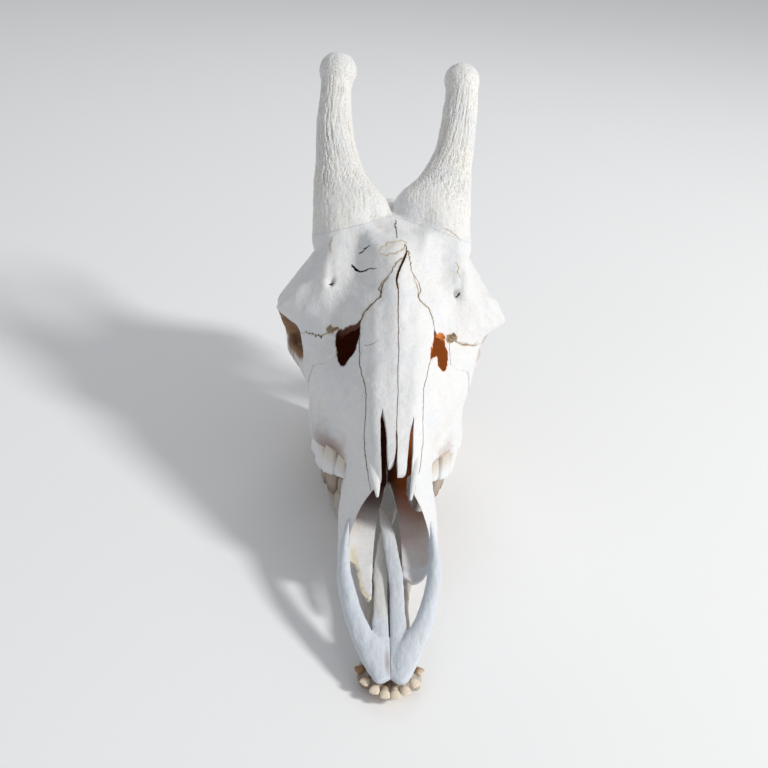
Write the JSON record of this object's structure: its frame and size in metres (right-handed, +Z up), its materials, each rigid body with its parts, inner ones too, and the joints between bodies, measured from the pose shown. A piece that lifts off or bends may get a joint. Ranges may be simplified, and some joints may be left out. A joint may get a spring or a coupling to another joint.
{
  "type": "giraffe skull",
  "caption": "Skull of a young giraffe with its lower jaw: white bone, two ossicones, forked nasal bones, open muzzle bars and small front teeth, resting on its jaw.",
  "frame": {"origin": "centre of the plan box, at the floor under the resting skull", "axes": "+X to the skull's own left side, +Y back from the muzzle tip to the neck, +Z up"},
  "size_m": [0.2272, 0.5305, 0.3894],
  "materials": {
    "braincase_bone": "matte",
    "ossicone_bone": "matte",
    "nasal_bone": "matte",
    "maxilla_bone": "matte",
    "cheek_bone": "matte",
    "premaxilla_bone": "matte",
    "mandible_bone": "matte"
  },
  "bodies": {
    "root": {"cranium": "braincase_bone", "ossicone_left": "ossicone_bone", "ossicone_right": "ossicone_bone", "nasal_left": "nasal_bone", "nasal_right": "nasal_bone", "maxilla_left": "maxilla_bone", "maxilla_right": "maxilla_bone", "cheek_left": "cheek_bone", "cheek_right": "cheek_bone", "premaxilla_left": "premaxilla_bone", "premaxilla_right": "premaxilla_bone", "mandible_left": "mandible_bone", "mandible_right": "mandible_bone"}
  },
  "joints": []
}
